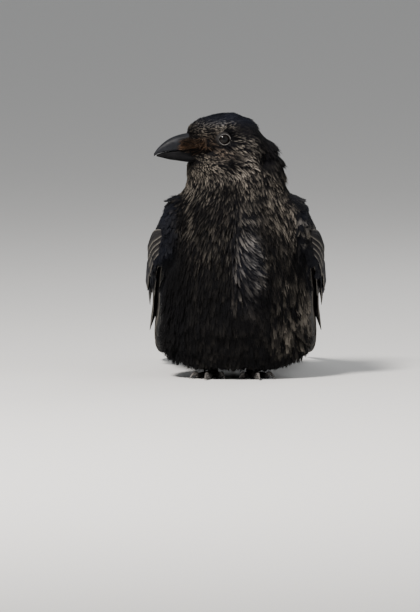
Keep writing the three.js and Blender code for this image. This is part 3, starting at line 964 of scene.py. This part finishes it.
def wing_chart(side):
    """Distances along the wing, across it and off it, made into places."""
    whole = WING_LENGTHS[-1]

    def chart(along, across, height):
        along, across, height = np.broadcast_arrays(*map(np.asarray, (along, across, height)))
        share = np.clip(along / whole, 0, 1)
        shares = np.interp(share * whole, WING_LENGTHS, WING_SHARES)
        point = smooth_line(WING_LINE, shares)
        ahead = unit(smooth_line(WING_LINE, np.minimum(shares + 0.004, 1))
                     - smooth_line(WING_LINE, np.maximum(shares - 0.004, 0)))
        folded = smooth(share, 0, FOLD)
        up = np.stack([-0.12 - 0.42 * folded, 0.25 + 0 * folded, 1 + 0 * folded], -1)
        up = unit(up - ahead * np.sum(up * ahead, -1, keepdims=True))
        out = np.cross(ahead, up)
        bend = (88 - 34 * folded + 90 * share**3)[..., None]
        turn = across[..., None] / bend
        place = (point + up * (bend + height[..., None]) * np.sin(turn)
                 + out * ((bend + height[..., None]) * np.cos(turn) - bend)
                 + ahead * (along - share * whole)[..., None])
        place[..., 0] *= side
        place[..., 2] = np.maximum(place[..., 2], WING_GAP)
        return place

    return chart


def tail_chart(along, across, height):
    """The same for the tail, which droops to the floor."""
    along, across, height = np.broadcast_arrays(*map(np.asarray, (along, across, height)))
    rise = height - TAIL_ARCH * across**2 - TAIL_SAG * np.sin(math.pi * along / TAIL_LENGTH)
    run, fall = math.cos(TAIL_SLOPE), math.sin(TAIL_SLOPE)
    y, z = TAIL_ROOT[1] + along * run + rise * fall, TAIL_ROOT[2] - along * fall + rise * run
    return np.stack([across + 0.0 * rise, y, np.maximum(z, TAIL_GAP)], -1)


# %% One quill
ACROSS = np.array([-1, -0.7, -0.4, -0.12, -0.035, 0, 0.035, 0.12, 0.4, 0.7, 1.0])
SPLITS = 3
THICKNESS = 0.45  # of the vane, in millimetres
SHAFT_WIDTH = 0.05  # as a share of the vane's


def quill(chart, root, tip, width, height, rng, lead=0.42, sag=0.0, rows=22, camber=1.2,
          taper=0.2, broad=0.3, dip=0.0):
    """A closed quill, its vane coordinates and tone. Root and tip are (along, across)."""
    u = np.sin(np.linspace(0.02, 0.5, rows) * math.pi) ** 1.15
    splits = sorted(rng.uniform(0.35, 0.93) for _ in range(SPLITS))
    u = np.sort(np.concatenate([u] + [[s - 0.003, s] for s in splits]))
    point = np.clip(1 - np.maximum(0, (u - 1 + taper) / taper) ** 2.2, 0.003, 1)
    wide = width * np.minimum(1, broad + 2.6 * u) * np.sqrt(point)
    cuts = {side: np.ones_like(u) for side in (-1, 1)}
    for split_at in splits:
        side = rng.choice((-1, 1))
        fall = np.clip((u - split_at + 0.06) / 0.057, 0, 1) * (u < split_at - 0.0015)
        cuts[side] *= 1 - rng.uniform(0.05, 0.16) * fall
    ahead = np.array(tip, float) - np.array(root, float)
    run = np.hypot(*ahead)
    dx, dy = ahead / run
    u, wide, t = u[:, None], wide[:, None], ACROSS[None, :]
    reach = wide * np.where(t < 0, lead * cuts[-1][:, None], (1 - lead) * cuts[1][:, None])
    off = t * reach + sag * np.sin(math.pi * u)
    # barbs curve forwards, so the rim runs ahead of the shaft
    on = np.minimum(u * run + 0.28 * np.abs(t) * reach * (u < 0.985),
                    run * (1 + 0.012 * (1 - np.abs(t))))
    near_shaft = bell(t, 0, SHAFT_WIDTH)
    # the root dips under the small feathers before it
    lift = (camber * (1 - t**2) * np.minimum(1, 4 * (1 - u) + 0.15)
            + 0.55 * near_shaft * (1 - 0.6 * u) - dip * np.clip(1 - u / 0.3, 0, 1) ** 1.5)
    places = [chart(root[0] + dx * on - dy * off, root[1] + dy * on + dx * off,
                    height + lift + thick).reshape(-1, 3)
              for thick in (0.0, -THICKNESS - 0.7 * near_shaft)]
    count, around = len(u), len(ACROSS)
    faces = []

    def quad(*corners):
        faces.append([(under * count + row) * around + i for row, i, under in corners])

    for row in range(count - 1):
        for i in range(around - 1):
            quad((row, i, 0), (row, i + 1, 0), (row + 1, i + 1, 0), (row + 1, i, 0))
            quad((row, i, 1), (row + 1, i, 1), (row + 1, i + 1, 1), (row, i + 1, 1))
        for i in (0, around - 1):
            quad((row, i, 0), (row + 1, i, 0), (row + 1, i, 1), (row, i, 1))
    for row in (0, count - 1):
        for i in range(around - 1):
            quad((row, i, 0), (row, i + 1, 0), (row, i + 1, 1), (row, i, 1))
    vane = np.stack(np.broadcast_arrays(t, u, run / 100), -1).reshape(-1, 3)
    return np.concatenate(places), faces, np.concatenate([vane, vane]), rng.random()


def quills(name, made, gloss, dust, *nodes):
    """Many quills as one piece."""
    faces, start = [], 0
    for places, theirs, _, _ in made:
        faces += [[corner + start for corner in face] for face in theirs]
        start += len(places)
    piece = mesh_object(name, np.vstack([places for places, *_ in made]), faces)
    tones = np.concatenate([np.full(len(places), tone) for places, _, _, tone in made])
    for key, values in (("vane", np.concatenate([vane for _, _, vane, _ in made])),
                        ("tone", tones), ("gloss", gloss), ("dust", dust)):
        store(piece.data, key, values)
    dress(piece, QUILL_BLACK, "flight_feathers", *nodes)


# %% [markdown]
# The quills' material shows what the small feathers are too small to show: the fine grooves
# between the barbs, which run aslant from the shaft and give a folded wing its silky streaks.

# %% Quill material
def quill_material():
    paint, tree, shader = finish_material("quill_black")
    gloss, dust, tone = attributes(tree, "gloss", "dust", "tone")
    across, along, length = split(attribute(tree, "vane", "Vector"))
    across = across.math("ABSOLUTE")
    barb = xyz(along * length * 100.0 - across * 9.0, across * 0.8, tone * 61.0)
    fine, broad = noise(barb, 1.4, 3.0), noise(barb, 0.12, 1.0)
    # the pale rims are wear together with painted highlights along the vane edges
    rim = across.math("POWER", 9.0)
    wear_and_highlight = dust.math("MULTIPLY", rim.line(2.4, broad * 0.25), clamp=True)
    dark = blend(gloss * broad, FRESH_BLACK, BLUE_BLACK)
    feed(shader, {"Base Color": blend(wear_and_highlight, dark, (0.150, 0.140, 0.125)),
                  "Roughness": wear_and_highlight.line(0.2, fine.line(0.2, 0.42)),
                  "Normal": bump(fine, 0.5, 0.0005), "Specular IOR Level": 0.04})
    return paint


QUILL_BLACK = quill_material()

# %% [markdown]
# A folded crow's wing shows, from its lower edge up: the long primaries stacked to the tip, the
# secondaries, the broad tertials on top, and over their roots the greater and median coverts, the
# primary coverts and the small alula on the wrist.

# %% Wings
WING_SEED, TAIL_SEED = 40, 60


def fan(count, shape):
    """Quills side by side, each shaped by its share of the way from the first to the last."""
    return [shape(i / (count - 1)) for i in range(count)]


def build_wing(side, word):
    chart = wing_chart(side)
    rng = random.Random(WING_SEED + side)
    make = lambda **given: quill(chart, rng=rng, **given)
    primaries = fan(10, lambda s: make(
        root=(mix(58, 40, s), mix(2, -22, s)), width=mix(27, 17, s), height=mix(-8.4, -12.8, s),
        tip=(WING_LENGTH - 92 * max(0, 1 - s / 0.72) ** 1.25 - 60 * max(0, s / 0.2 - 4),
             mix(10, -9, s)),
        sag=mix(-2, -9, s), lead=0.34, taper=0.16, camber=1.0))
    secondaries = fan(9, lambda s: make(
        root=(mix(62, 70, s), mix(-14, 34, s)), width=mix(29, 37, s), height=mix(-7.4, -3.8, s),
        tip=(mix(226, 176, s**1.5), mix(-12, 40, s)), lead=0.45, sag=mix(-4, 3, s), taper=0.14))
    greater = fan(10, lambda s: make(
        root=(mix(70, 78, s), mix(-20, 38, s)), tip=(mix(150, 138, s), mix(-25, 46, s)), width=19,
        height=mix(-4.2, -1.4, s), rows=14, taper=0.3, camber=1.4, broad=0.5))
    median = fan(11, lambda s: make(
        root=(mix(52, 62, s), mix(-24, 40, s)), tip=(mix(106, 100, s), mix(-28, 50, s)), width=16,
        height=mix(-1.4, -0.2, s), rows=14, taper=0.4, camber=1.5, broad=0.5, dip=5.5))
    hand = fan(7, lambda s: make(
        root=(mix(40, 30, s), mix(-14, -24, s)), tip=(mix(128, 112, s), mix(-20, -34, s)), width=13,
        height=mix(-5, -7.5, s), rows=14, taper=0.2, camber=0.9, broad=0.5, dip=3.0))
    alula = fan(4, lambda s: make(
        root=(mix(14, 18, s), mix(-8, -20, s)), tip=(mix(52, 74, s), mix(-14, -30, s)), width=11,
        height=mix(1.2, -2.4, s), rows=14, taper=0.3, camber=1.0, broad=0.5, dip=4.0))
    quills("primaries_vanes_" + word, primaries, 0.5, 0.8, "primaries_" + word)
    quills("secondaries_vanes_" + word, secondaries, 0.75, 0.5, "secondaries_" + word)
    quills("wing_coverts_" + word, greater + median + hand, 0.85, 0.35)
    # the right alula's paler tips are a painted highlight on the right wrist
    quills("alula_vanes_" + word, alula, 0.4, 0.4 if side > 0 else 0.6)


for side, word in SIDES:
    build_wing(side, word)


# %% Tail
def build_tail():
    rng = random.Random(TAIL_SEED)

    def rectrix(share):
        place = 2 * share - 1  # -1 at the right edge, 1 at the left
        return quill(tail_chart, root=(0, place * 9), tip=(TAIL_LENGTH - 13 * place**2, place * 24),
                     width=25, height=-5.2 * abs(place) - (0.35 if place > 0 else 0), rng=rng,
                     lead=0.5 + 0.1 * place, taper=0.1, camber=1.0)

    quills("tail_vanes", fan(12, rectrix), 0.6, 0.3, "tail")


build_tail()

# %% [markdown]
# ## Bill
# The bill is bone under a thin sheath of horn: two arched mandibles that meet along a cutting edge
# with a slight downward sweep, the upper one hooked a little over the lower. It is lofted through
# sections, because each section is a simple arch, and a loft keeps the ridge clean. The horn is
# satin, near black, with fine streaks along its length and a worn edge.

# %% Horn
def horn_material(name, colour, worn_and_lit, rough, streaks, scratch, shine):
    paint, tree, shader = finish_material(name)
    lines = noise(vector_math("MULTIPLY", attribute(tree, "grain", "Vector"), streaks), 1.0, 4.0)
    wear_and_highlight = (lines * noise(own_place(tree), 130.0, 4.0)).line(3.2, -0.55, clamp=True)
    feed(shader, {"Base Color": blend(wear_and_highlight, colour, worn_and_lit),
                  "Roughness": lines.line(0.3, rough - 0.15),
                  "Normal": bump(lines, scratch, 0.0002), "Specular IOR Level": shine})
    return paint


BILL_HORN = horn_material("bill_horn", (0.0065, 0.007, 0.009), (0.017, 0.0185, 0.023), 0.50,
                          (0.12, 1.6, 1.6), 0.3, 0.12)
# the lower mandible gets a darker, duller copy of the bill's horn: painted shade under the upper
# one
LOWER_HORN_PAINTED_SHADE = horn_material("lower_bill_horn_painted_shade", (0.004, 0.004, 0.0045), (0.010, 0.010, 0.011), 0.55,
                           (0.12, 1.6, 1.6), 0.3, 0.04)

# %% Mandibles
UPPER = [(14, -9.8, 6, 9.4), (30, -9, 5.4, 8.8), (40, -10, 3.4, 7.5), (48, -11, 0.2, 5.9),
         (54, -11.9, -3.9, 4.3), (59, -13.2, -8.6, 2.5), (62.4, -15.6, -13.2, 0.7)]
LOWER = [(14, -10.3, -21.6, 8.6), (30, -9.6, -21.2, 7.8), (40, -10.6, -19.8, 6.2),
         (48, -11.6, -18.6, 4.6), (55, -12.7, -16.9, 2.7), (60, -14.3, -15.6, 0.8)]


def mandible(name, stations, paint, node_name):
    """A loft of arches: forward, height of the cutting edge, height of the ridge, half width."""
    rings, arch = 44, 26
    u, edge, ridge, half = smooth_line(stations, np.linspace(0, 1, rings)).T[:, :, None]
    angle = np.linspace(0, math.pi, arch)[None, :]
    bulge = np.sin(angle) ** 0.8
    across = half * np.cos(angle) * (0.72 + 0.28 * bulge)
    height = edge + (ridge - edge) * bulge
    height = height + np.sign(ridge - edge) * 0.25 * bell(angle, math.pi / 2, 0.13)
    # a shallow hollow runs beside the cutting edge
    across = across * (1 - 0.05 * bell(bulge, 0.35, 0.13))
    arches = in_head(u + 0 * across, across, height)
    # the inner face between the edges is drawn up a little, so the mouth reads as a dark line
    inner = np.linspace(-1, 1, 7)[1:-1]
    drawn = in_head(u + 0 * inner, half * 0.72 * inner,
                    edge + np.sign(ridge - edge) * 0.8 * (1 - inner**2))
    places, faces = loft(np.concatenate([arches, drawn], axis=1))
    piece = mesh_object(name, places, faces)
    store(piece.data, "grain", np.stack(by_head(places), 1))
    dress(piece, paint, "horn", node_name)


mandible("bill_upper_horn", UPPER, BILL_HORN, "bill_upper")
mandible("bill_lower_horn", LOWER, LOWER_HORN_PAINTED_SHADE, "bill_lower")

# %% [markdown]
# ## Eyes
# A crow's eye is a wet dark ball, sunk so that only its front shows, ringed by a thin rim of grey
# beads on the lids. Ball and lids are rings about the eye's own axis, as if turned on a lathe. Dark
# pupil, brown iris and outer ring are told apart by their distance from that axis.

# %% Eyes and lids
PUPIL_RADIUS, IRIS_RADIUS = 2.3, 3.9
BALL_STEPS = 40, 48  # from front to rear, and around
LID_STEPS = 96
LID_STRETCH, LID_SQUASH = 1.04, 0.98
LIDS = np.array([(4.45, 3.9), (4.6, 4.7), (4.72, 5.1), (4.95, 5.35), (5.25, 5.35), (5.5, 5.0),
                 (5.8, 4.4), (6.3, 3.6), (6.9, 2.6), (7.4, 1.4), (7.2, 0.4), (5.0, 0.2),
                 (4.5, 2.2)])  # radius, and height outwards


def round_turn(steps):
    return np.linspace(0, 2 * math.pi, steps, endpoint=False)[None, :]


def wet_eye():
    paint, tree, shader = finish_material("wet_eye")
    ring = attribute(tree, "ring")
    fibres = noise(attribute(tree, "rays", "Vector"), 2.2, 3.0)
    iris = blend(fibres, (0.001, 0.0006, 0.0005), (0.004, 0.0018, 0.0012))
    past_pupil = ring.line(2.5, -2.5 * PUPIL_RADIUS, clamp=True)
    past_iris = ring.line(1.6, -1.6 * IRIS_RADIUS, clamp=True)
    inner = blend(past_pupil, (0.001, 0.001, 0.0012), iris)
    feed(shader, {"Base Color": blend(past_iris, inner, (0.004, 0.003, 0.003)), "Roughness": 0.4,
                  "Specular IOR Level": 0.04, "Coat Weight": 0.3, "Coat Roughness": 0.02})
    return paint


def lid_material():
    paint, tree, shader = finish_material("lid_skin")
    grain = noise(own_place(tree), 1500.0, 2.0)
    pale = blend(grain.line(2.4, -0.7, clamp=True), (0.07, 0.067, 0.064), (0.30, 0.29, 0.275))
    feed(shader, {"Base Color": blend(attribute(tree, "crest"), (0.012, 0.011, 0.011), pale),
                  "Roughness": 0.6, "Specular IOR Level": 0.2,
                  "Normal": bump(grain, 0.4, 0.0002)})
    return paint


WET_EYE, LID_SKIN = wet_eye(), lid_material()


def build_ball(side, word):
    steps, around = BALL_STEPS
    turn, angle = np.linspace(0.02, math.pi - 0.02, steps)[:, None], round_turn(around)
    reach = EYE_RADIUS * np.sin(turn)
    out = EYE_SPREAD + EYE_RADIUS * np.cos(turn) + 0 * angle
    places, faces = loft(in_head(reach * np.cos(angle), side * out, reach * np.sin(angle)))
    ball = mesh_object("eyeball_" + word, places, faces)
    ahead, _, up = by_head(places)
    radius = np.hypot(ahead, up)
    bearing = unit(np.stack([ahead, up], 1))
    store(ball.data, "ring", radius)
    store(ball.data, "rays", np.column_stack([bearing * 4, radius * 0.25]))
    dress(ball, WET_EYE, "eye", "eye_" + word)


def build_lids(side, word):
    """A ring of beads. It opens into a corner in front."""
    radius, out = LIDS.T[:, :, None]
    angle = round_turn(LID_STEPS)
    order = np.arange(len(LIDS))[:, None]
    beads = (0.20 * np.cos(26 * angle) * ((order >= 2) & (order <= 4))
             + 0.12 * np.cos(17 * angle + 1) * ((order >= 5) & (order <= 7)))
    corner = 1 + 0.10 * np.clip(np.cos(angle), 0, 1) ** 6 * (radius > 3.8)
    rings = in_head(LID_STRETCH * radius * np.cos(angle) * corner,
                    side * (EYE_SPREAD + out + beads), LID_SQUASH * radius * np.sin(angle))
    lid = mesh_object("lids_" + word, *loft(np.concatenate([rings, rings[:1]]), closed_ends=False))
    with edited(lid.data) as bm:
        bmesh.ops.remove_doubles(bm, verts=bm.verts, dist=1e-6)
    ahead, _, up = by_head(read_places(lid.data))
    radius = np.hypot(ahead / LID_STRETCH, up / LID_SQUASH)
    store(lid.data, "crest", smooth(radius, 4.70, 4.88) * (1 - smooth(radius, 5.05, 5.35)))
    dress(lid, LID_SKIN, "plumage")


for side, word in SIDES:
    build_ball(side, word)
    build_lids(side, word)

# %% [markdown]
# ## Legs and feet
# Little of the leg shows under the belly. Toes and shanks are sheathed in scales: broad plates,
# called scutes, across the front and top, and soft pads below, flattened where they carry the bird.
# Each is a tube round a smooth line, with the plates and knuckles written into its radius.

# %% Round bodies
def round_body(stations, side, rings, around, close, floor, relief=None):
    """A closed body. Stations are (x, y, z, sideways, above, below)."""
    even = (np.arange(rings) + 0.5) / rings
    u = mix(even, (1 - np.cos(math.pi * even)) / 2, 0.5)
    values = smooth_line(stations, u)
    ahead = unit(smooth_line(stations, np.minimum(u + 0.01, 1))[:, :3]
                 - smooth_line(stations, np.maximum(u - 0.01, 0))[:, :3])
    up = unit(np.cross(np.broadcast_to(side, ahead.shape), ahead))
    near = np.minimum(1, np.minimum(u / close, (1 - u) / close))
    closing = np.sqrt(1 - (1 - near) ** 2)[:, None]
    angle = np.arange(around) * 2 * math.pi / around
    x, y = np.cos(angle)[None, :], np.sin(angle)[None, :]
    size = closing * (relief(u[:, None], angle[None, :]) if relief else 1.0)
    tall = np.where(y > 0, values[:, 4:5], values[:, 5:6])
    places = (values[:, None, :3] + side * (x * values[:, 3:4] * size)[..., None]
              + up[:, None] * (y * tall * size)[..., None])
    places[..., 2] = np.maximum(places[..., 2], floor)
    return loft(places)


def scutes(count, depth, pads=0):
    """Relief with plates over the top half and pads below."""
    def relief(u, angle):
        top = smooth(np.sin(angle), -0.1, 0.5)
        plate = np.abs(np.sin(math.pi * u * count)) ** 0.45
        pad = np.abs(np.sin(math.pi * u * pads)) if pads else 0 * u
        return 1 + depth * (plate - 0.6) * top + 0.08 * (pad - 0.5) * (1 - top)
    return relief


STANCE = np.array([-3.5, 13.0, 0.0])  # between the feet
FEET_APART = 35.0
SPLAY = math.radians(7)
# angle from straight ahead, length, thickness, and length of the claw
TOES = {"middle": (2, 38, 6.8, 13), "inner": (-24, 27, 6.4, 12), "outer": (27, 29, 6.2, 12),
        "hind": (178, 21, 7.4, 16)}

# toes and claws are painted lighter grey than a crow's black feet: painted highlights that lift
# them out of the belly's shade
SCALY_PAINTED_HIGHLIGHT = horn_material("scaly_leg_painted_highlight", (0.022, 0.021, 0.021), (0.120, 0.113, 0.107), 0.45,
                      (0.9, 0.9, 0.9), 0.6, 0.35)
CLAW_HORN_PAINTED_HIGHLIGHT = horn_material("claw_horn_painted_highlight", (0.060, 0.057, 0.055), (0.260, 0.245, 0.230), 0.3,
                          (0.3, 1.5, 1.5), 0.25, 0.45)


def horny(name, solid, paint, slot_name, node_name):
    places, faces = solid
    piece = mesh_object(name, places, faces)
    store(piece.data, "grain", places - places.mean(0))
    dress(piece, paint, slot_name, node_name)


def build_foot(side, word):
    ankle = STANCE[0] + side * FEET_APART / 2
    heel = STANCE[0] + side * (FEET_APART / 2 + 2)
    rear = STANCE[1]
    shank = [(ankle, rear + 0.5, 4.4, 5.6, 6, 6), (ankle, rear + 3, 8, 4, 4.4, 4.4),
             (heel, rear + 10, 15, 3.4, 3.8, 3.8), (heel, rear + 16, 26, 3.8, 4.2, 4.2)]
    body = round_body(shank, np.array([1.0, 0, 0]), 40, 20, 0.14, 0.02, scutes(7, 0.08))
    horny("shank_" + word, body, SCALY_PAINTED_HIGHLIGHT, "scales", "tarsus_" + word)
    for toe, (angle, length, thick, reach) in TOES.items():
        turn = math.radians(angle) + SPLAY
        across = np.array([side * math.cos(turn), math.sin(turn), 0.0])

        def on_foot(out, z):
            return (STANCE[0] + side * (FEET_APART / 2 + out * math.sin(turn)),
                    STANCE[1] - out * math.cos(turn), z)

        stations = []
        for share in (0, 0.3, 0.62, 1):
            size = thick / 2 * (1 - 0.22 * share)
            knuckle = 0.5 if share in (0.3, 0.62) else 0
            stations.append((*on_foot(length * share, size * 0.88 + knuckle), size, size, size))
        plates = scutes(round(length / 2.6), 0.10, 4)
        body = round_body(stations, across, 44, 20, 0.12, 0.02, plates)
        horny(f"toe_{toe}_{word}_scaled", body, SCALY_PAINTED_HIGHLIGHT, "scales", f"toe_{toe}_{word}")
        arc = []
        for share in (0, 0.35, 0.7, 1):
            rise = 3.2 + 3.4 * math.sin(math.pi * 0.62 * share + 0.35) - 5.6 * share**1.7
            slim = thick * 0.36 * (1 - 0.8 * share)
            arc.append((*on_foot(length - 3 + (reach + 1) * share, max(rise, slim + 0.1)),
                        slim * 0.8, slim, slim))
        body = round_body(arc, across, 26, 14, 0.08, 0.1)
        horny(f"claw_{toe}_{word}_horn", body, CLAW_HORN_PAINTED_HIGHLIGHT, "horn", f"claw_{toe}_{word}")


for side, word in SIDES:
    build_foot(side, word)

# %% [markdown]
# ## Finish
# The skin now stands for all the flesh solids.

# %% Put the skin in the frame and finish
for spare in SPARE:
    skin.data.attributes.remove(skin.data.attributes[spare])
settle(skin, "plumage", *FLESH)
